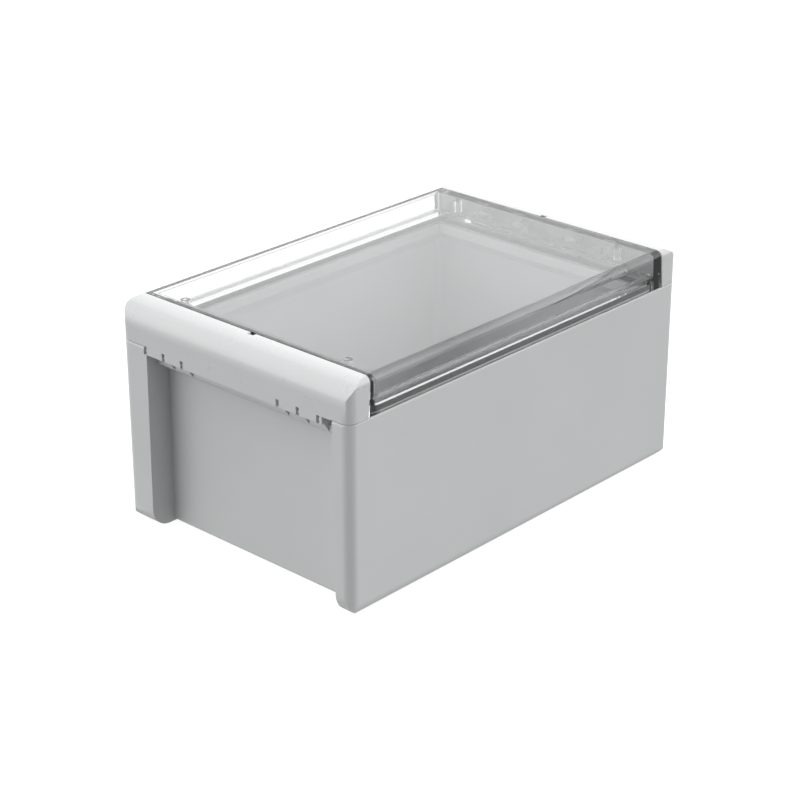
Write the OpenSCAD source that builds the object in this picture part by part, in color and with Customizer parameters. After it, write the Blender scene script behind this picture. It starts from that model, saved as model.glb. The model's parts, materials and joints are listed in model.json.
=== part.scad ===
// Hinged polycarbonate enclosure: grey base, clear lid with its gasket, and
// two identical end strips that are both hinge and quick-release latch.
// Frame: origin at the centre of the underside, +X along the length,
// +Y across, +Z up. All sizes are in millimetres.

/* [Body] */
// Overall length over both end strips
body_l = 271; // [250:1:320]
// Overall width
body_w = 170; // [168:1:190]
// Overall height with the lid closed
body_h = 132; // [131:1:150]
// Height of the parting plane between base and lid
part_z = 109.7; // [100:0.1:110.5]
// Wall thickness of the base
wall = 3; // [2.5:0.5:3]
// Radius of the vertical corner edges
corner_r = 6; // [4:0.5:7]
// Radius of the underside's edge on the corner pillars
bottom_end_r = 12; // [8:0.5:12]
// Radius of the underside's edges along the long sides
bottom_side_r = 8; // [6:0.5:10]
// Radius along the top outer edge of each end strip
end_top_r = 14; // [12:0.5:14]
// Radius along the long top edges of lid and strips
side_top_r = 4; // [3:0.5:4]

/* [End recess] */
// Depth of the recess in each end wall
recess_d = 15.6; // [15:0.1:16]
// Width of the narrow corner pillar at its top
pillar_narrow = 12.2; // [12:0.1:12.4]
// Width of the wide corner pillar at its top
pillar_wide = 20.2; // [19.8:0.1:20.4]
// How much each pillar is slimmer at the underside
pillar_draft = 1.4; // [0:0.1:1.5]
// Radius along the top outer edge of the pillars
pillar_top_r = 1.7; // [1.7:0.1:2]
// How far the hinge ledge stands out of the recess wall
ledge_d = 8.3; // [7:0.1:8.5]
// Height from the underside of the hinge ledge to the parting plane
ledge_drop = 12.6; // [12:0.1:16]

/* [Wall fixing] */
// Radius of the screw holes through the corner pillars
fix_r = 2.2; // [2:0.1:2.6]
// Radius of the channel above each screw hole
fix_channel_r = 3.6; // [3.2:0.1:3.8]
// Thickness left under each channel
fix_seat = 8; // [5:0.5:12]

/* [Board bosses] */
// Spacing of the bosses along the length
boss_x = 200; // [160:1:200]
// Spacing of the bosses across the width
boss_y = 120; // [100:1:130]
// Outer radius of a boss
boss_r = 4; // [3.5:0.1:5]
// Pilot hole radius of a boss
boss_hole_r = 1.6; // [1.2:0.1:2]
// Height of a boss above the floor
boss_h = 8; // [5:0.5:12]

/* [Lid] */
// Thickness of the clear top
lid_top = 3; // [2.5:0.1:3.5]
// Thickness of the long side walls of the lid
lid_wall = 3; // [2.5:0.1:3]
// Gap between the closed lid and the base
lid_gap = 0.4; // [0.3:0.1:0.5]
// Gap between the lid and each end strip
strip_gap = 0.5; // [0.4:0.05:0.6]
// Height of the rim flange above the lid's lower edge
flange_h = 7.3; // [7.2:0.1:8.5]
// Length of the four hollow posts under the clear top
post_h = 7; // [4:0.5:8]

/* [Seal] */
// Width of the gasket groove
groove_w = 4.4; // [4.2:0.1:4.5]
// Height of the gasket
gasket_t = 3.2; // [3:0.1:3.3]
// Height of the base's sealing tongue
tongue_h = 2.2; // [1.9:0.1:2.2]
// Thickness of the base's sealing tongue
tongue_t = 1.8; // [1.4:0.1:1.8]

/* [End strips] */
// Shell thickness of a strip
strip_t = 2.5; // [2:0.1:2.5]
// Gap between a strip and the pillar tops
seat_gap = 0.3; // [0.3:0.05:0.4]
// Width of the slits between the hinge hooks
slit_w = 2.2; // [1.8:0.1:2.4]
// Spacing of the slits
slit_pitch = 14.35; // [14.2:0.05:14.4]

/* [Hinge] */
// Distance of the hinge axis behind the end face
axis_in = 2.4; // [2.3:0.05:2.4]
// Depth of the hinge axis under the parting plane
axis_drop = 3; // [3:0.1:3.5]
// Radius of the hinge bar on the base
bar_r = 1.25; // [1.1:0.05:1.25]
// Radial clearance of the hooks on the bar
bar_clear = 0.05; // [0.03:0.01:0.08]

/* [Hidden] */
$fn = 64;

xe = body_l / 2;              // end faces
ye = body_w / 2;              // long side faces
floor_t = wall;
xw = xe - recess_d;           // outer face of the recessed end wall
recess_narrow = ye - pillar_narrow;
recess_wide = ye - pillar_wide;
ledge_z = part_z - ledge_drop;
axis_x = xe - axis_in;
axis_z = part_z - axis_drop;
hook_r = axis_in;
bore_r = bar_r + bar_clear;
lid_z = part_z + lid_gap;     // lower edge of the lid
strip_z = part_z + seat_gap;  // lower edge of a strip over the pillars
lid_y = ye - 0.2;
lid_x_top = xe - 16.1;        // end of the lid at its top
lid_x_bot = xe - 14.7;        // end of the lid at its lower edge
room_x = lid_x_top - 3.6;     // end of the room under the clear top
groove_y = ye - 4.9;          // centre lines of seal groove and tongue
groove_x = xe - 19.2;
groove_r = 5.5;
seal_top = part_z + 4.5;
rim_y = groove_y - groove_w / 2 - 1.2;
rim_x = groove_x - groove_w / 2 - 1.2;
skirt_z = axis_z - 1.4;       // lower edge of the skirt between the pillars
slit_top = part_z - 0.1;
slit_first = recess_wide + slit_w / 2;
slits = [for (k = [0, 1, 2, 7, 8, 9]) if (k > 0) slit_first - k * slit_pitch];
notch_y = slit_first;
skirt_lo = slit_first - 9 * slit_pitch - 2.7;   // the skirt ends short of the narrow pillar
skirt_hi = recess_wide - 0.3;
hook_spans = [[slit_first - slit_pitch + slit_w / 2, skirt_hi],
              [slit_first - 2 * slit_pitch + slit_w / 2, slit_first - slit_pitch - slit_w / 2],
              [slit_first - 8 * slit_pitch + slit_w / 2, slit_first - 7 * slit_pitch - slit_w / 2],
              [slit_first - 9 * slit_pitch + slit_w / 2, slit_first - 8 * slit_pitch - slit_w / 2]];
catch_y = [-48, -20, 20, 48];
fix_x = xe - 7;
fix_y = ye - 6.5;
post_x = xe - 25;
post_y = ye - 24.8;

// Rounded rectangle, centred.
module rrect(x, y, r) {
  square([x - 2 * r, y], center = true);
  square([x, y - 2 * r], center = true);
  for (i = [-1, 1], j = [-1, 1])
    translate([i * (x / 2 - r), j * (y / 2 - r)]) circle(r);
}

// Outline |u| <= w/2 between z0 and z1 with its own radius below and above.
module slab(w, z0, z1, rb, rt) {
  translate([-w / 2, z0 + rb]) square([w, z1 - z0 - rb - rt]);
  if (rb > 0) {
    translate([-w / 2 + rb, z0]) square([w - 2 * rb, rb + 0.01]);
    for (i = [-1, 1]) translate([i * (w / 2 - rb), z0 + rb]) circle(rb);
  }
  if (rt > 0) {
    translate([-w / 2 + rt, z1 - rt - 0.01]) square([w - 2 * rt, rt + 0.01]);
    for (i = [-1, 1]) translate([i * (w / 2 - rt), z1 - rt]) circle(rt);
  }
}

// Carry an outline drawn in X-Z along Y, or one drawn in Y-Z along X.
module along_y(y0, y1) { translate([0, y1, 0]) rotate([90, 0, 0]) linear_extrude(y1 - y0) children(); }
module along_x(x0, x1) { translate([x0, 0, 0]) rotate([90, 0, 90]) linear_extrude(x1 - x0) children(); }
module block(x0, y0, z0, x1, y1, z1) { translate([x0, y0, z0]) cube([x1 - x0, y1 - y0, z1 - z0]); }
module both_ends() { children(); rotate([0, 0, 180]) children(); }

// Closed band that follows the rim, w wide, between two heights.
module rim_band(w, z0, z1) {
  translate([0, 0, z0]) linear_extrude(z1 - z0) difference() {
    rrect(2 * groove_x + w, 2 * groove_y + w, groove_r + w / 2);
    rrect(2 * groove_x - w, 2 * groove_y - w, groove_r - w / 2);
  }
}

// Room inside the base, narrower at the rim that carries the seal.
module cavity() {
  intersection() {
    along_y(-ye, ye) {
      slab(2 * (xw - wall), floor_t, part_z - 11.2, 5, 0);
      polygon([[-(xw - wall), part_z - 11.3], [-(xw - wall), part_z - 11.2], [-rim_x, part_z - 5.9], [-rim_x, part_z + 1],
               [rim_x, part_z + 1], [rim_x, part_z - 5.9], [xw - wall, part_z - 11.2], [xw - wall, part_z - 11.3]]);
    }
    along_x(-xe, xe) {
      slab(2 * (ye - wall), floor_t, part_z - 13.2, bottom_side_r - wall, 0);
      polygon([[-(ye - wall), part_z - 13.3], [-(ye - wall), part_z - 13.2], [-rim_y, part_z - 5.9], [-rim_y, part_z + 1],
               [rim_y, part_z + 1], [rim_y, part_z - 5.9], [ye - wall, part_z - 13.2], [ye - wall, part_z - 13.3]]);
    }
    linear_extrude(body_h) rrect(2 * (xw - wall), 2 * (ye - wall), 4);
  }
}

// Recess between the corner pillars at the -X end, with a rounded lower
// edge on its wall.
module end_recess() {
  intersection() {
    along_y(-ye, ye) {
      translate([-xe - 1, -1]) square([recess_d + 1, part_z + 2]);
      difference() {
        translate([-xw - 0.01, -1]) square([2.5, 3.5]);
        translate([-xw + 2.5, 2.5]) circle(2.5);
        translate([-xw + 2.49, -2]) square([1, 5]);
      }
    }
    along_x(-xe - 2, -xw + 4)
      polygon([[-recess_narrow - pillar_draft, 0], [-recess_narrow - pillar_draft, -1], [recess_wide + pillar_draft, -1],
               [recess_wide + pillar_draft, 0], [recess_wide, part_z], [recess_wide, part_z + 1],
               [-recess_narrow, part_z + 1], [-recess_narrow, part_z]]);
  }
}

// Hinge ledge, bar and bar supports in the recess at the -X end.
module hinge_ledge() {
  x0 = -(xw + ledge_d);
  along_y(-recess_narrow - 1, recess_wide + 1) {
    translate([x0 + 2.4, ledge_z]) square([-xw + 1 - x0 - 2.4, 5]);
    translate([x0, ledge_z + 2.4]) square([5, 2.6]);
    translate([x0 + 2.4, ledge_z + 2.4]) circle(2.4);
    difference() {
      translate([-xw - 2.2, ledge_z - 2.2]) square([3.2, 2.3]);
      translate([-xw - 2.2, ledge_z - 2.2]) circle(2.2);
    }
  }
  // supports stand in the slits, set back behind the face
  for (y = concat(slits, [notch_y]))
    along_y(y - 0.7, y + 0.7)
      polygon([[-(axis_x - 0.4), axis_z - bar_r], [-(axis_x - 0.4), axis_z + bar_r],
               [-(axis_x - 1.6), axis_z + bar_r], [-(xw + 3), ledge_z + 4.9],
               [-(xw + ledge_d - 0.2), ledge_z + 1]]);
  for (s = hook_spans)
    translate([-axis_x, s[0] - slit_w / 2 - 0.05, axis_z]) rotate([-90, 0, 0])
      cylinder(r = bar_r, h = s[1] - s[0] + slit_w + 0.1);
  // the bar runs on into the wide pillar
  translate([-axis_x, skirt_hi - 1, axis_z]) rotate([-90, 0, 0]) cylinder(r = bar_r, h = 5);
}

module base() {
  color([0.70, 0.71, 0.72]) difference() {
    union() {
      difference() {
        intersection() {
          linear_extrude(part_z) rrect(body_l, body_w, corner_r);
          along_y(-ye, ye) slab(body_l, 0, part_z, bottom_end_r, pillar_top_r);
          along_x(-xe, xe) slab(body_w, 0, part_z, bottom_side_r, 0.8);
        }
        cavity();
        both_ends() end_recess();
      }
      both_ends() hinge_ledge();
      rim_band(tongue_t, part_z - 0.5, part_z + tongue_h);
      for (i = [-1, 1], j = [-1, 1])
        translate([i * boss_x / 2, j * boss_y / 2, floor_t - 0.5]) cylinder(r = boss_r, h = boss_h + 0.5);
    }
    // open slit beside the wide pillar
    both_ends() difference() {
      block(-xe - 1, recess_wide - 0.01, skirt_z, -xe + 4.5, notch_y + slit_w / 2, part_z + 1);
      along_y(notch_y - 2, notch_y + 2)
        polygon([[-(axis_x - 0.4), axis_z - bar_r], [-(axis_x - 0.4), axis_z + bar_r],
                 [-(axis_x - 3), axis_z + bar_r], [-(axis_x - 3), axis_z - bar_r]]);
    }
    // screw holes and channels of the corner pillars
    for (i = [-1, 1], j = [-1, 1]) translate([i * fix_x, j * fix_y, 0]) {
      translate([0, 0, -1]) cylinder(r = fix_r, h = fix_seat + 2);
      translate([0, 0, fix_seat]) cylinder(r = fix_channel_r, h = body_h);
    }
    for (i = [-1, 1], j = [-1, 1])
      translate([i * boss_x / 2, j * boss_y / 2, floor_t + 1]) cylinder(r = boss_hole_r, h = boss_h);
  }
}

// Outline of the lid in X-Z: its ends lean in towards the top.
module lid_outline(z0, z1) {
  s = (lid_x_bot - lid_x_top) / (body_h - lid_z);
  a = lid_x_bot - s * (z0 - lid_z);
  b = lid_x_bot - s * (z1 - lid_z);
  polygon([[-a, z0], [a, z0], [b, z1], [-b, z1]]);
}

module lid() {
  color([0.62, 0.65, 0.67, 0.35]) {
    difference() {
      intersection() {
        along_y(-lid_y, lid_y) lid_outline(lid_z, body_h);
        along_x(-xe, xe) slab(2 * lid_y, lid_z, body_h, 0, side_top_r);
      }
      // room above the flange
      intersection() {
        along_y(-ye, ye) slab(2 * room_x, lid_z + flange_h, body_h - lid_top, 0, 2);
        along_x(-xe, xe) slab(2 * (lid_y - lid_wall), lid_z + flange_h, body_h - lid_top, 0, 3);
        linear_extrude(body_h) rrect(2 * room_x, 2 * (lid_y - lid_wall), 3);
      }
      // room inside the flange
      translate([0, 0, lid_z - 1]) linear_extrude(flange_h + 2) rrect(2 * rim_x, 2 * rim_y, 2);
      // gasket groove
      rim_band(groove_w, lid_z - 1, seal_top + 0.05);
      // catch pockets for the hooks of the strips
      both_ends() for (y = catch_y)
        block(-lid_x_bot - 1, y - 4.5, lid_z + 9, -lid_x_bot + 1.8, y + 4.5, lid_z + 12);
    }
    for (i = [-1, 1], j = [-1, 1]) translate([i * post_x, j * post_y, body_h - lid_top - post_h])
      difference() {
        cylinder(r = 2.6, h = post_h + 0.5);
        translate([0, 0, -1]) cylinder(r = 1.2, h = post_h);
      }
  }
}

module lid_gasket() {
  color([0.06, 0.06, 0.065]) difference() {
    rim_band(groove_w - 0.1, seal_top - gasket_t, seal_top);
    rim_band(tongue_t + 0.7, seal_top - gasket_t - 1, part_z + tongue_h + 0.3);
  }
}

// One end strip in its place at the -X end.
module strip_body() {
  s = (lid_x_bot - lid_x_top) / (body_h - lid_z);
  xb = lid_x_bot + strip_gap + s * (lid_z - skirt_z);
  xt = lid_x_top + strip_gap;
  difference() {
    union() {
      // shell
      difference() {
        intersection() {
          linear_extrude(body_h) rrect(body_l, body_w, corner_r);
          along_y(-ye, ye) slab(body_l, 0, body_h, 1, end_top_r);
          along_x(-xe, xe) slab(body_w, 0, body_h, 1, side_top_r);
          along_y(-ye, ye) polygon([[-xe - 1, strip_z], [-xb, strip_z], [-xt, body_h + 1], [-xe - 1, body_h + 1]]);
        }
        intersection() {
          along_y(-ye, ye) slab(body_l - 2 * strip_t, 0, body_h - strip_t, 1, end_top_r - strip_t);
          along_x(-xe, xe) slab(body_w - 2 * strip_t, 0, body_h - strip_t, 1, 2);
          linear_extrude(body_h) rrect(body_l - 2 * strip_t, body_w - 2 * strip_t, corner_r - strip_t);
        }
      }
      // skirt between the pillars
      block(-xe, skirt_lo, skirt_z, -xe + strip_t, skirt_hi, strip_z + 0.5);
      block(-xe, -recess_narrow + 0.3, slit_top, -xe + strip_t, skirt_hi, strip_z + 0.5);
      // hooks round the hinge bar
      for (h = hook_spans) {
        translate([-axis_x, h[0], axis_z]) rotate([-90, 0, 0]) cylinder(r = hook_r, h = h[1] - h[0]);
        block(-xe, h[0], axis_z, -axis_x + 1.2, h[1], axis_z + 2.6);
      }
      // ribs with catch hooks, kept inside the shell
      intersection() {
        along_y(-ye, ye) slab(body_l - 2, 0, body_h - 1, 1, end_top_r - 1);
        for (y = catch_y) {
          along_y(y - 0.9, y + 0.9)
            polygon([[-xe + 0.5, strip_z + 1], [-xe + 5, strip_z + 2], [-xe + 7, lid_z + 9.6], [-lid_x_bot - strip_gap - 0.2, lid_z + 9.6],
                     [-lid_x_bot - strip_gap - 0.2, lid_z + 11.4], [-xe + 9.5, lid_z + 14], [-xe + 10.5, body_h - 0.5], [-xe + 0.5, body_h - 0.5]]);
          block(-xe + 7, y - 3.5, lid_z + 9.6, -lid_x_bot - strip_gap - 0.2, y + 3.5, lid_z + 11.4);
        }
      }
    }
    // slits
    for (y = slits) block(-xe - 1, y - slit_w / 2, skirt_z - 2, -xe + 6, y + slit_w / 2, slit_top);
    // bores of the hooks and their snap mouths
    for (h = hook_spans) {
      translate([-axis_x, h[0] - 1, axis_z]) rotate([-90, 0, 0]) cylinder(r = bore_r, h = h[1] - h[0] + 2);
      block(-axis_x, h[0] - 0.5, axis_z - 1, -axis_x + 4, h[1] + 0.5, axis_z + 1);
    }
    // screwdriver notch in the top edge next to the lid
    block(-xt - 2.8, -4.3, body_h - 3.2, -xt + 1, -0.3, body_h + 1);
  }
}

module front_strip() { color([0.72, 0.73, 0.74]) strip_body(); }
module rear_strip() { color([0.72, 0.73, 0.74]) rotate([0, 0, 180]) strip_body(); }

base();
lid();
lid_gasket();
front_strip();
rear_strip();
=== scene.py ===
import json
import math

import bmesh
import bpy
import numpy as np
from mathutils import Matrix, Vector


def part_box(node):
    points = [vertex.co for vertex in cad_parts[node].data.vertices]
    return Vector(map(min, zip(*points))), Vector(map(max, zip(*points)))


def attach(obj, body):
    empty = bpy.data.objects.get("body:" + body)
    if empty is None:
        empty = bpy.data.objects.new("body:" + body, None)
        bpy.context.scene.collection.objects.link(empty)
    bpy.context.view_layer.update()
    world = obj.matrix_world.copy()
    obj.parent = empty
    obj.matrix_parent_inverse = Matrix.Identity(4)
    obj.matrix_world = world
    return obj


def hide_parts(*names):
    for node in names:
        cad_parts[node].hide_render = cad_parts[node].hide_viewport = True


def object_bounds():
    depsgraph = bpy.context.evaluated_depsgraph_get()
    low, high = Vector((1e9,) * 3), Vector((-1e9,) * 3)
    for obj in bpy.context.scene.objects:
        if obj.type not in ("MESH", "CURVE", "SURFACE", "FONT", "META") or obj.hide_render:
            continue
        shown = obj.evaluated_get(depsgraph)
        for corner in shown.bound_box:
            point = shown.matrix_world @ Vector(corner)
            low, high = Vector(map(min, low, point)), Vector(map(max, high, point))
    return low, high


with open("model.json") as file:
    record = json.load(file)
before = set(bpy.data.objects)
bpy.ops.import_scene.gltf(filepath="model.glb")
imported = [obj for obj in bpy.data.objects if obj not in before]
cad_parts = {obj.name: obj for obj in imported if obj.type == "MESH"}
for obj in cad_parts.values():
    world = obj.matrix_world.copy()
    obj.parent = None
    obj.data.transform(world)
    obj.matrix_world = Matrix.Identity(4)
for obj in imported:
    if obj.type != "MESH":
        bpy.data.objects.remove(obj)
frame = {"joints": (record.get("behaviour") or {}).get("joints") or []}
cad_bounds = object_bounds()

MM = 0.001
scene = bpy.context.scene

# ---------------------------------------------------------------- sizes, mm
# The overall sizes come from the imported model, the rest repeats the values of
# the construction.
lo, hi = (np.array(v, float) / MM for v in cad_bounds)
xe, ye, body_h = float(hi[0]), float(hi[1]), float(hi[2])
lid_lo, lid_hi = (np.array(v, float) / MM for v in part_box("lid"))
lid_z = float(lid_lo[2])
lid_y = float(lid_hi[1])
lid_x_bot = float(lid_hi[0])
part_z = lid_z - 0.4
gas_lo, gas_hi = (np.array(v, float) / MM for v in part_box("lid_gasket"))
tongue_top = float(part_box("base")[1][2]) / MM
hinge = [j for j in frame["joints"] if j["name"] == "front_strip_hinge"][0]["pos_m"]
axis_x, axis_z = -hinge[0] / MM, hinge[2] / MM

wall = 3.0
corner_r = 6.0
bottom_end_r, bottom_side_r = 12.0, 8.0
end_top_r, side_top_r = 14.0, 4.0
recess_d, ledge_d, ledge_drop = 15.6, 8.3, 12.6
pillar_narrow, pillar_wide, pillar_draft = 12.2, 20.2, 1.4
xw = xe - recess_d
recess_narrow, recess_wide = ye - pillar_narrow, ye - pillar_wide
ledge_z = part_z - ledge_drop
fix_x, fix_y, fix_r, fix_channel_r, fix_seat = xe - 7, ye - 6.5, 2.2, 3.6, 8.0
boss_x, boss_y, boss_r, boss_hole_r, boss_h = 200.0, 120.0, 4.0, 1.6, 8.0
lid_top, lid_wall, flange_h, post_h = 3.0, 3.0, 7.3, 7.0
strip_gap = 0.5
lid_x_top = xe - 16.1
room_x = lid_x_top - 3.6
groove_w, groove_x, groove_y, groove_r = 4.4, xe - 19.2, ye - 4.9, 5.5
rim_x, rim_y = groove_x - groove_w / 2 - 1.2, groove_y - groove_w / 2 - 1.2
tongue_t = 1.8
strip_t = 2.5
strip_z = part_z + 0.3
slit_w, slit_pitch = 2.2, 14.35
slit_first = recess_wide + slit_w / 2
slits = [slit_first - k * slit_pitch for k in (1, 2, 7, 8, 9)]
slit_top = part_z - 0.1
skirt_z = axis_z - 1.4
skirt_lo = slit_first - 9 * slit_pitch - 2.7
skirt_hi = recess_wide - 0.3
hook_r = xe - axis_x
bar_r, bore_r = 1.25, 1.3
hook_spans = [
    (slit_first - slit_pitch + slit_w / 2, skirt_hi),
    (slit_first - 2 * slit_pitch + slit_w / 2, slit_first - slit_pitch - slit_w / 2),
    (slit_first - 8 * slit_pitch + slit_w / 2, slit_first - 7 * slit_pitch - slit_w / 2),
    (slit_first - 9 * slit_pitch + slit_w / 2, slit_first - 8 * slit_pitch - slit_w / 2),
]
catch_y = (-48, -20, 20, 48)
post_x, post_y = xe - 25, ye - 24.8


# ---------------------------------------------------------------- mesh tools
def steps(r):
    """Steps of a quarter circle: facets of about 0.6 mm."""
    return max(4, min(28, int(round(r * math.pi / 2 / 0.62))))


def arc(cu, cv, r, a0, a1, n):
    return [
        (cu + r * math.cos(math.radians(a0 + (a1 - a0) * i / n)), cv + r * math.sin(math.radians(a0 + (a1 - a0) * i / n)))
        for i in range(n + 1)
    ]


def rounded(u0, v0, u1, v1, radii):
    """Outline of a rectangle with a radius for each corner: low left, low right, high right, high left."""
    out = []
    for (cu, cv, a0), r in zip(((u0, v0, 180), (u1, v0, 270), (u1, v1, 0), (u0, v1, 90)), radii):
        if r <= 0:
            out.append((cu, cv))
            continue
        su, sv = (1 if cu == u0 else -1), (1 if cv == v0 else -1)
        out += arc(cu + su * r, cv + sv * r, r, a0, a0 + 90, steps(r))
    return out


def slab(w, z0, z1, rb, rt):
    return rounded(-w / 2, z0, w / 2, z1, (rb, rb, rt, rt))


def rrect(x, y, r):
    return rounded(-x / 2, -y / 2, x / 2, y / 2, (r, r, r, r))


def make(name, verts, faces):
    me = bpy.data.meshes.new(name)
    me.from_pydata([tuple(c * MM for c in v) for v in verts], [], faces)
    bm = bmesh.new()
    bm.from_mesh(me)
    bmesh.ops.recalc_face_normals(bm, faces=bm.faces)
    bm.to_mesh(me)
    bm.free()
    ob = bpy.data.objects.new(name, me)
    scene.collection.objects.link(ob)
    return ob


def prism(axis, pts, a, b, name="part"):
    """Closed solid: an outline carried from a to b along an axis. Outlines are (x, z) along y, (y, z) along x and (x, y) along z."""
    n = len(pts)
    put = {
        "x": lambda p, t: (t, p[0], p[1]),
        "y": lambda p, t: (p[0], t, p[1]),
        "z": lambda p, t: (p[0], p[1], t),
    }[axis]
    verts = [put(p, a) for p in pts] + [put(p, b) for p in pts]
    faces = [list(range(n)), list(range(n, 2 * n))]
    faces += [[i, (i + 1) % n, n + (i + 1) % n, n + i] for i in range(n)]
    return make(name, verts, faces)


def box(x0, y0, z0, x1, y1, z1):
    return prism("z", [(x0, y0), (x1, y0), (x1, y1), (x0, y1)], z0, z1)


def cyl(x, y, z0, z1, r, n=32):
    return prism("z", [(x + r * math.cos(2 * math.pi * i / n), y + r * math.sin(2 * math.pi * i / n)) for i in range(n)], z0, z1)


def rod(x, z, y0, y1, r, n=32):
    return prism("y", [(x + r * math.cos(2 * math.pi * i / n), z + r * math.sin(2 * math.pi * i / n)) for i in range(n)], y0, y1)


def settle(ob):
    """Applies the modifiers of ob."""
    dg = bpy.context.evaluated_depsgraph_get()
    dg.update()
    me = bpy.data.meshes.new_from_object(ob.evaluated_get(dg))
    old = ob.data
    ob.modifiers.clear()
    ob.data = me
    bpy.data.meshes.remove(old)
    return ob


def drop(ob):
    me = ob.data
    bpy.data.objects.remove(ob)
    bpy.data.meshes.remove(me)


def op(kind, a, *others):
    for b in others:
        m = a.modifiers.new("b", "BOOLEAN")
        m.operation = kind
        m.object = b
        m.solver = "MANIFOLD"
        settle(a)
        drop(b)
    return a


def union(a, *o):
    return op("UNION", a, *o)


def cut(a, *o):
    return op("DIFFERENCE", a, *o)


def both(a, *o):
    return op("INTERSECT", a, *o)


def turned(ob):
    """The same solid turned half a turn about Z."""
    c = bpy.data.objects.new(ob.name, ob.data.copy())
    c.data.transform(Matrix.Rotation(math.pi, 4, "Z"))
    scene.collection.objects.link(c)
    return c


def band(w, z0, z1):
    a = prism("z", rrect(2 * groove_x + w, 2 * groove_y + w, groove_r + w / 2), z0, z1)
    return cut(a, prism("z", rrect(2 * groove_x - w, 2 * groove_y - w, groove_r - w / 2), z0 - 1, z1 + 1))


def finish_piece(ob, name, width=0.3, segments=2, angle=32):
    """Flat areas joined, every sharp edge rounded a little, normals weighted by area."""
    ob.name = ob.data.name = name
    bm = bmesh.new()
    bm.from_mesh(ob.data)
    bmesh.ops.remove_doubles(bm, verts=bm.verts, dist=0.004 * MM)
    bmesh.ops.dissolve_limit(bm, angle_limit=math.radians(0.4), verts=bm.verts, edges=bm.edges)
    bmesh.ops.recalc_face_normals(bm, faces=bm.faces)
    for f in bm.faces:
        f.smooth = True
    bm.to_mesh(ob.data)
    bm.free()
    if width:
        m = ob.modifiers.new("edge", "BEVEL")
        m.width = width * MM
        m.segments = segments
        m.limit_method = "ANGLE"
        m.angle_limit = math.radians(angle)
        m.use_clamp_overlap = True
        m.miter_outer = "MITER_SHARP"
        m.harden_normals = False
        settle(ob)
    ob.data.set_sharp_from_angle(angle=math.radians(38))
    m = ob.modifiers.new("wn", "WEIGHTED_NORMAL")
    m.keep_sharp = True
    m.weight = 90
    settle(ob)
    return ob


# ---------------------------------------------------------------- base
def end_recess():
    lip = [(-xe - 1, -1), (-xw - 0.01, -1)]
    lip += [(-xw + 2.5, -1), (-xw + 2.5, 0)] + arc(-xw + 2.5, 2.5, 2.5, 270, 180, 6)[1:] + [(-xw, part_z + 1), (-xe - 1, part_z + 1)]
    a = prism("y", lip, -ye, ye)
    return both(
        a,
        prism(
            "x",
            [
                (-recess_narrow - pillar_draft, -2), (recess_wide + pillar_draft, -2), (recess_wide + pillar_draft, 0),
                (recess_wide, part_z), (recess_wide, part_z + 2), (-recess_narrow, part_z + 2), (-recess_narrow, part_z),
                (-recess_narrow - pillar_draft, 0),
            ],
            -xe - 2, -xw + 4,
        ),
    )


def hinge_ledge():
    x0 = -(xw + ledge_d)
    out = arc(x0 + 2.4, ledge_z + 2.4, 2.4, 180, 270, 6)
    out += [(-xw - 2.2, ledge_z)] + arc(-xw - 2.2, ledge_z - 2.2, 2.2, 90, 0, 6)[1:] + [(-xw + 1, ledge_z - 2.2), (-xw + 1, ledge_z + 5), (x0, ledge_z + 5)]
    a = prism("y", out, -recess_narrow - 1, recess_wide + 1)
    for y in slits + [slit_first]:
        union(a, prism("y", [
            (-(axis_x - 0.4), axis_z - bar_r), (-(axis_x - 0.4), axis_z + bar_r), (-(axis_x - 1.6), axis_z + bar_r),
            (-(xw + 3), ledge_z + 4.9), (-(xw + ledge_d - 0.2), ledge_z + 1)], y - 0.7, y + 0.7))
    for s in hook_spans:
        union(a, rod(-axis_x, axis_z, s[0] - slit_w / 2 - 0.05, s[1] + slit_w / 2 + 0.05, bar_r, 24))
    union(a, rod(-axis_x, axis_z, skirt_hi - 1, skirt_hi + 4, bar_r, 24))
    return a


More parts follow.
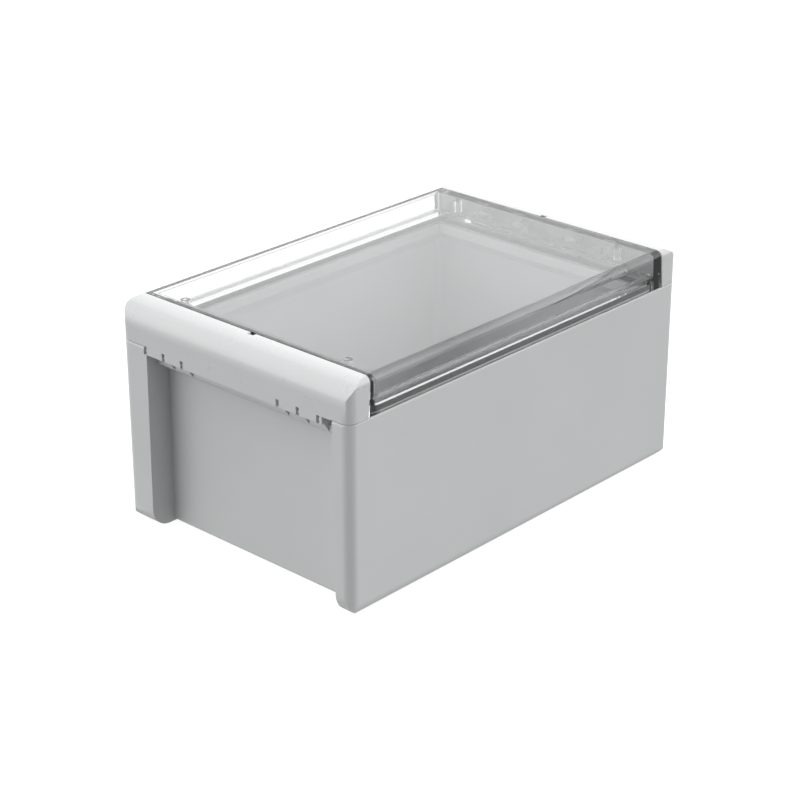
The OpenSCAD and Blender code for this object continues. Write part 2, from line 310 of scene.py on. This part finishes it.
def build_base():
    a = prism("z", rrect(2 * xe, 2 * ye, corner_r), 0, part_z)
    both(a, prism("y", slab(2 * xe, 0, part_z, bottom_end_r, 1.7), -ye - 1, ye + 1))
    both(a, prism("x", slab(2 * ye, 0, part_z, bottom_side_r, 0.8), -xe - 1, xe + 1))
    # room inside, narrower at the rim
    bx, by = xw - wall, ye - wall
    r = rounded(-bx, wall, bx, part_z - 11.2, (5, 5, 0, 0))
    r = [p for p in r if p[1] < part_z - 11.3]
    room = prism("y", r[: len(r) // 2] + r[len(r) // 2:] + [(bx, part_z - 11.2), (rim_x, part_z - 5.9), (rim_x, part_z + 1),
                      (-rim_x, part_z + 1), (-rim_x, part_z - 5.9), (-bx, part_z - 11.2)], -ye, ye)
    q = bottom_side_r - wall
    r = rounded(-by, wall, by, part_z - 13.2, (q, q, 0, 0))
    r = [p for p in r if p[1] < part_z - 13.3]
    both(room, prism("x", r + [(by, part_z - 13.2), (rim_y, part_z - 5.9), (rim_y, part_z + 1),
                               (-rim_y, part_z + 1), (-rim_y, part_z - 5.9), (-by, part_z - 13.2)], -xe, xe))
    both(room, prism("z", rrect(2 * bx, 2 * by, 4), 0, body_h))
    cut(a, room)
    e = end_recess()
    e2 = turned(e)
    cut(a, e, e2)
    h = hinge_ledge()
    h2 = turned(h)
    union(a, h, h2)
    union(a, band(tongue_t, part_z - 0.5, tongue_top))
    for i in (-1, 1):
        for j in (-1, 1):
            union(a, cyl(i * boss_x / 2, j * boss_y / 2, wall - 0.5, wall + boss_h, boss_r))
    for k in (0, 1):
        s = box(-xe - 1, recess_wide - 0.01, skirt_z, -xe + 4.5, slit_first + slit_w / 2, part_z + 1)
        cut(s, prism("y", [(-(axis_x - 0.4), axis_z - bar_r), (-(axis_x - 0.4), axis_z + bar_r),
                           (-(axis_x - 3), axis_z + bar_r), (-(axis_x - 3), axis_z - bar_r)], slit_first - 2, slit_first + 2))
        cut(s, rod(-axis_x, axis_z, slit_first - 4, slit_first + 4, bar_r, 24))
        if k:
            t = turned(s)
            drop(s)
            s = t
        cut(a, s)
    for i in (-1, 1):
        for j in (-1, 1):
            cut(a, cyl(i * fix_x, j * fix_y, -1, fix_seat + 1, fix_r), cyl(i * fix_x, j * fix_y, fix_seat, body_h, fix_channel_r))
            cut(a, cyl(i * boss_x / 2, j * boss_y / 2, wall + 1, wall + boss_h + 1, boss_hole_r, 24))
    return a


# ---------------------------------------------------------------- lid
def build_lid():
    s = (lid_x_bot - lid_x_top) / (body_h - lid_z)
    a = prism("y", [(-lid_x_bot, lid_z), (lid_x_bot, lid_z), (lid_x_top, body_h), (-lid_x_top, body_h)], -lid_y, lid_y)
    both(a, prism("x", slab(2 * lid_y, lid_z, body_h, 0, side_top_r), -xe, xe))
    z0 = lid_z + flange_h
    room = prism("y", slab(2 * room_x, z0, body_h - lid_top, 0, 2), -ye, ye)
    both(room, prism("x", slab(2 * (lid_y - lid_wall), z0 - 1, body_h - lid_top, 0, 3), -xe, xe))
    both(room, prism("z", rrect(2 * room_x, 2 * (lid_y - lid_wall), 3), 0, body_h))
    cut(a, room)
    cut(a, prism("z", rrect(2 * rim_x, 2 * rim_y, 2), lid_z - 1, z0 + 1))
    cut(a, band(groove_w, lid_z - 1, gas_hi[2] + 0.05))
    for k in (-1, 1):
        for y in catch_y:
            cut(a, box(min(k * (lid_x_bot + 1), k * (lid_x_bot - 1.8)), y - 4.5, lid_z + 9, max(k * (lid_x_bot + 1), k * (lid_x_bot - 1.8)), y + 4.5, lid_z + 12))
    for i in (-1, 1):
        for j in (-1, 1):
            p = cyl(i * post_x, j * post_y, body_h - lid_top - post_h, body_h - lid_top + 0.5, 2.6, 28)
            cut(p, cyl(i * post_x, j * post_y, body_h - lid_top - post_h - 1, body_h - lid_top, 1.2, 20))
            union(a, p)
    return a


def build_gasket():
    a = band(groove_w - 0.1, float(gas_lo[2]), float(gas_hi[2]))
    return cut(a, band(tongue_t + 0.7, float(gas_lo[2]) - 1, tongue_top + 0.3))


# ---------------------------------------------------------------- end strips
def build_strip():
    s = (lid_x_bot - lid_x_top) / (body_h - lid_z)
    xb = lid_x_bot + strip_gap + s * (lid_z - skirt_z)
    xt = lid_x_top + strip_gap
    a = prism("z", rrect(2 * xe, 2 * ye, corner_r), strip_z, body_h)
    both(a, prism("y", slab(2 * xe, strip_z - 5, body_h, 0, end_top_r), -ye - 1, ye + 1))
    both(a, prism("x", slab(2 * ye, strip_z - 5, body_h, 0, side_top_r), -xe - 1, xe + 1))
    both(a, prism("y", [(-xe - 1, strip_z), (-xb, strip_z), (-xt - s, body_h + 1), (-xe - 1, body_h + 1)], -ye - 1, ye + 1))
    t = strip_t
    hollow = prism("z", rrect(2 * (xe - t), 2 * (ye - t), corner_r - t), strip_z - 5, body_h)
    both(hollow, prism("y", slab(2 * (xe - t), strip_z - 6, body_h - t, 0, end_top_r - t), -ye - 1, ye + 1))
    both(hollow, prism("x", slab(2 * (ye - t), strip_z - 6, body_h - t, 0, 2), -xe - 1, xe + 1))
    cut(a, hollow)
    union(a, box(-xe, skirt_lo, skirt_z, -xe + t, skirt_hi, strip_z + 0.5))
    union(a, box(-xe, -recess_narrow + 0.3, slit_top, -xe + t, skirt_hi, strip_z + 0.5))
    for h in hook_spans:
        union(a, rod(-axis_x, axis_z, h[0], h[1], hook_r, 40))
        union(a, box(-xe, h[0], axis_z, -axis_x + 1.2, h[1], axis_z + 2.6))
    ribs = None
    lx = -lid_x_bot - strip_gap - 0.2
    for y in catch_y:
        r = prism("y", [(-xe + 0.5, strip_z + 1), (-xe + 5, strip_z + 2), (-xe + 7, lid_z + 9.6), (lx, lid_z + 9.6), (lx, lid_z + 11.4),
                        (-xe + 9.5, lid_z + 14), (-xe + 10.5, body_h - 0.5), (-xe + 0.5, body_h - 0.5)], y - 0.9, y + 0.9)
        union(r, box(-xe + 7, y - 3.5, lid_z + 9.6, lx, y + 3.5, lid_z + 11.4))
        ribs = r if ribs is None else union(ribs, r)
    both(ribs, prism("y", slab(2 * xe - 2, 0, body_h - 1, 1, end_top_r - 1), -ye, ye))
    union(a, ribs)
    for y in slits:
        cut(a, box(-xe - 1, y - slit_w / 2, skirt_z - 4, -xe + 6, y + slit_w / 2, slit_top))
    for h in hook_spans:
        cut(a, rod(-axis_x, axis_z, h[0] - 1, h[1] + 1, bore_r, 24))
        cut(a, box(-axis_x, h[0] - 0.5, axis_z - 1, -axis_x + 4, h[1] + 0.5, axis_z + 1))
    cut(a, box(-xt - 2.8, -4.3, body_h - 3.2, -xt + 1, -0.3, body_h + 1))
    return a


base = finish_piece(build_base(), "base_shell", 0.3)
lid = finish_piece(build_lid(), "clear_lid", 0.35, 3)
gasket = finish_piece(build_gasket(), "seal_ring", 0.4, 3)
front = finish_piece(build_strip(), "front_end_strip", 0.3)
rear = bpy.data.objects.new("rear_end_strip", front.data.copy())
rear.data.transform(Matrix.Rotation(math.pi, 4, "Z"))
scene.collection.objects.link(rear)


# ---------------------------------------------------------------- materials
def nodes_of(name):
    m = bpy.data.materials.new(name)
    m.use_nodes = True
    nt = m.node_tree
    nt.nodes.clear()
    out = nt.nodes.new("ShaderNodeOutputMaterial")
    return m, nt, out


def plastic(name, colour, rough=0.3):
    m, nt, out = nodes_of(name)
    n, l = nt.nodes, nt.links
    b = n.new("ShaderNodeBsdfPrincipled")
    b.inputs["IOR"].default_value = 1.585
    l.new(b.outputs[0], out.inputs["Surface"])
    tc = n.new("ShaderNodeTexCoord")
    # slow flow marks in the colour
    flow = n.new("ShaderNodeTexNoise")
    flow.inputs["Scale"].default_value = 14
    flow.inputs["Detail"].default_value = 3
    l.new(tc.outputs["Object"], flow.inputs["Vector"])
    ramp = n.new("ShaderNodeValToRGB")
    ramp.color_ramp.elements[0].position = 0.3
    ramp.color_ramp.elements[1].position = 0.7
    ramp.color_ramp.elements[0].color = (*[c * 0.975 for c in colour], 1)
    ramp.color_ramp.elements[1].color = (*[min(1, c * 1.02) for c in colour], 1)
    l.new(flow.outputs["Fac"], ramp.inputs["Fac"])
    l.new(ramp.outputs["Color"], b.inputs["Base Color"])
    # fine spark-eroded grain
    grain = n.new("ShaderNodeTexNoise")
    grain.inputs["Scale"].default_value = 1500
    grain.inputs["Detail"].default_value = 2
    l.new(tc.outputs["Object"], grain.inputs["Vector"])
    patch = n.new("ShaderNodeTexNoise")
    patch.inputs["Scale"].default_value = 60
    patch.inputs["Detail"].default_value = 4
    l.new(tc.outputs["Object"], patch.inputs["Vector"])
    rr = n.new("ShaderNodeMapRange")
    rr.inputs["To Min"].default_value = rough - 0.03
    rr.inputs["To Max"].default_value = rough + 0.03
    l.new(patch.outputs["Fac"], rr.inputs["Value"])
    l.new(rr.outputs["Result"], b.inputs["Roughness"])
    bump = n.new("ShaderNodeBump")
    bump.inputs["Strength"].default_value = 0.12
    bump.inputs["Distance"].default_value = 0.00008
    l.new(grain.outputs["Fac"], bump.inputs["Height"])
    l.new(bump.outputs["Normal"], b.inputs["Normal"])
    return m


def clear(name):
    m, nt, out = nodes_of(name)
    n, l = nt.nodes, nt.links
    b = n.new("ShaderNodeBsdfPrincipled")
    b.inputs["Base Color"].default_value = (1, 1, 1, 1)
    b.inputs["Transmission Weight"].default_value = 1.0
    b.inputs["IOR"].default_value = 1.585
    b.inputs["Roughness"].default_value = 0.02
    tr = n.new("ShaderNodeBsdfTransparent")
    tr.inputs["Color"].default_value = (0.93, 0.93, 0.93, 1)
    lp = n.new("ShaderNodeLightPath")
    mix = n.new("ShaderNodeMixShader")
    l.new(lp.outputs["Is Shadow Ray"], mix.inputs["Fac"])
    l.new(b.outputs[0], mix.inputs[1])
    l.new(tr.outputs[0], mix.inputs[2])
    l.new(mix.outputs[0], out.inputs["Surface"])
    va = n.new("ShaderNodeVolumeAbsorption")
    va.inputs["Color"].default_value = (0.30, 0.32, 0.34, 1)
    va.inputs["Density"].default_value = 45
    l.new(va.outputs[0], out.inputs["Volume"])
    tc = n.new("ShaderNodeTexCoord")
    w = n.new("ShaderNodeTexNoise")
    w.inputs["Scale"].default_value = 9
    w.inputs["Detail"].default_value = 1
    l.new(tc.outputs["Object"], w.inputs["Vector"])
    bump = n.new("ShaderNodeBump")
    bump.inputs["Strength"].default_value = 0.05
    bump.inputs["Distance"].default_value = 0.0004
    l.new(w.outputs["Fac"], bump.inputs["Height"])
    l.new(bump.outputs["Normal"], b.inputs["Normal"])
    return m


def rubber(name):
    m, nt, out = nodes_of(name)
    n, l = nt.nodes, nt.links
    b = n.new("ShaderNodeBsdfPrincipled")
    b.inputs["IOR"].default_value = 1.45
    l.new(b.outputs[0], out.inputs["Surface"])
    tc = n.new("ShaderNodeTexCoord")
    v = n.new("ShaderNodeTexNoise")
    v.inputs["Scale"].default_value = 2200
    v.inputs["Detail"].default_value = 3
    l.new(tc.outputs["Object"], v.inputs["Vector"])
    ramp = n.new("ShaderNodeValToRGB")
    ramp.color_ramp.elements[0].color = (0.006, 0.006, 0.0065, 1)
    ramp.color_ramp.elements[1].color = (0.016, 0.016, 0.017, 1)
    l.new(v.outputs["Fac"], ramp.inputs["Fac"])
    l.new(ramp.outputs["Color"], b.inputs["Base Color"])
    rr = n.new("ShaderNodeMapRange")
    rr.inputs["To Min"].default_value = 0.55
    rr.inputs["To Max"].default_value = 0.75
    l.new(v.outputs["Fac"], rr.inputs["Value"])
    l.new(rr.outputs["Result"], b.inputs["Roughness"])
    bump = n.new("ShaderNodeBump")
    bump.inputs["Strength"].default_value = 0.3
    bump.inputs["Distance"].default_value = 0.0001
    l.new(v.outputs["Fac"], bump.inputs["Height"])
    l.new(bump.outputs["Normal"], b.inputs["Normal"])
    return m


grey = (0.60, 0.61, 0.615)
base_mat = plastic("moulded_grey_base", grey, 0.30)
strip_mat = plastic("moulded_grey_strip", grey, 0.28)
lid_mat = clear("smoked_clear")
seal_mat = rubber("black_seal")
for ob, mat, body, node, slot in (
    (base, base_mat, "base", "base", "base"),
    (lid, lid_mat, "lid", "lid", "lid"),
    (gasket, seal_mat, "lid", "lid_gasket", "gasket"),
    (front, strip_mat, "front_strip", "front_strip", "strip"),
    (rear, strip_mat, "lid", "rear_strip", "strip"),
):
    ob.data.materials.clear()
    ob.data.materials.append(mat)
    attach(ob, body)
    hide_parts(node)


# ---------------------------------------------------------------- stage
# A white table top that glows a little, so that only a faint shadow shows on
# it, and a white surrounding for the camera.
floor = make("floor", [(-520, -520, 0), (520, -520, 0), (520, 520, 0), (-520, 520, 0)], [[0, 1, 2, 3]])
floor.location.z = -0.0001
m, nt, out = nodes_of("pale_floor")
b = nt.nodes.new("ShaderNodeBsdfPrincipled")
b.inputs["Base Color"].default_value = (0.30, 0.30, 0.30, 1)
b.inputs["Roughness"].default_value = 0.9
b.inputs["Emission Color"].default_value = (1, 1, 1, 1)
b.inputs["Emission Strength"].default_value = 0.86
nt.links.new(b.outputs[0], out.inputs["Surface"])
floor.data.materials.append(m)
floor.visible_diffuse = False
floor.visible_glossy = False

world = bpy.data.worlds.new("studio")
scene.world = world
world.use_nodes = True
wn = world.node_tree
wn.nodes.clear()


def wnode(kind, **values):
    n = wn.nodes.new(kind)
    for k, v in values.items():
        n.inputs[k.replace("_", " ")].default_value = v
    return n


def ramp(source, a, b, to_a, to_b):
    """Smooth step of a world value from to_a (at a) to to_b (at b)."""
    n = wn.nodes.new("ShaderNodeMapRange")
    n.interpolation_type = "SMOOTHSTEP"
    for k, v in zip(("From Min", "From Max", "To Min", "To Max"), (a, b, to_a, to_b)):
        n.inputs[k].default_value = v
    wn.links.new(source, n.inputs["Value"])
    return n.outputs["Result"]


def facing(direction):
    n = wn.nodes.new("ShaderNodeVectorMath")
    n.operation = "DOT_PRODUCT"
    n.inputs[1].default_value = Vector(direction).normalized()
    wn.links.new(sky.outputs["Generated"], n.inputs[0])
    return n.outputs["Value"]


def times(a, b):
    n = wn.nodes.new("ShaderNodeMath")
    n.operation = "MULTIPLY"
    wn.links.new(a, n.inputs[0])
    wn.links.new(b, n.inputs[1])
    return n.outputs[0]


# A soft white tent: bright above and at both sides, dim below and towards
# the side where the photographer stands, a little dimmer low at the back.
sky = wn.nodes.new("ShaderNodeTexCoord")
glow = ramp(facing((0, 0, 1)), -0.15, 0.15, 0.50, 2.5)
glow = times(glow, ramp(facing((0, 0, 1)), 0.40, 0.85, 1.0, 0.42))
glow = times(glow, ramp(facing((-0.74, -0.68, 0.10)), 0.48, 0.92, 1.0, 0.05))
glow = times(glow, ramp(facing((0.67, 0.62, 0.41)), 0.75, 0.95, 1.0, 0.62))
room_light = wnode("ShaderNodeBackground", Color=(1, 1, 1, 1))
wn.links.new(glow, room_light.inputs["Strength"])
backdrop = wnode("ShaderNodeBackground", Color=(1, 1, 1, 1), Strength=1.05)
path = wn.nodes.new("ShaderNodeLightPath")
mix = wn.nodes.new("ShaderNodeMixShader")
wn.links.new(path.outputs["Is Camera Ray"], mix.inputs["Fac"])
wn.links.new(room_light.outputs[0], mix.inputs[1])
wn.links.new(backdrop.outputs[0], mix.inputs[2])
wo = wn.nodes.new("ShaderNodeOutputWorld")
wn.links.new(mix.outputs[0], wo.inputs["Surface"])


def area(name, toward, dist, size, size_y, bright, to=(0, 0, 0.08)):
    """Soft box seen from the part in a direction; bright is its radiance."""
    d = bpy.data.lights.new(name, "AREA")
    d.shape = "RECTANGLE"
    d.size = size
    d.size_y = size_y
    d.energy = bright * math.pi * size * size_y
    o = bpy.data.objects.new(name, d)
    o.location = Vector(to) + Vector(toward).normalized() * dist
    o.rotation_euler = (Vector(to) - o.location).to_track_quat("-Z", "Y").to_euler()
    scene.collection.objects.link(o)
    return o


area("back_box", (0.22, 0.62, 0.74), 1.4, 1.1, 0.7, 0.9)

# ---------------------------------------------------------------- camera
AZ, EL, TX, TY, DIST, FOC = -47.41, 24.19, 407.56, 382.07, 1223.28, 2167.55
a, e = math.radians(AZ), math.radians(EL)
back = Vector((math.sin(a) * math.cos(e), -math.cos(a) * math.cos(e), math.sin(e)))
right = Vector((math.cos(a), math.sin(a), 0))
up = back.cross(right)
# where the middle of the body lies in the picture fixes the camera's place
pos = Vector((0, 0, 65)) - (right * ((TX - 400) / FOC * DIST) - up * ((TY - 400) / FOC * DIST) - back * DIST)
cam_data = bpy.data.cameras.new("camera")
cam = bpy.data.objects.new("camera", cam_data)
scene.collection.objects.link(cam)
cam_data.sensor_width = 36
cam_data.lens = FOC * 36 / 800
cam_data.clip_start = 0.01
cam_data.clip_end = 50
cam.matrix_world = Matrix((
    (right.x, up.x, back.x, pos.x * MM),
    (right.y, up.y, back.y, pos.y * MM),
    (right.z, up.z, back.z, pos.z * MM),
    (0, 0, 0, 1),
))
scene.camera = cam
scene.view_settings.view_transform = "Standard"
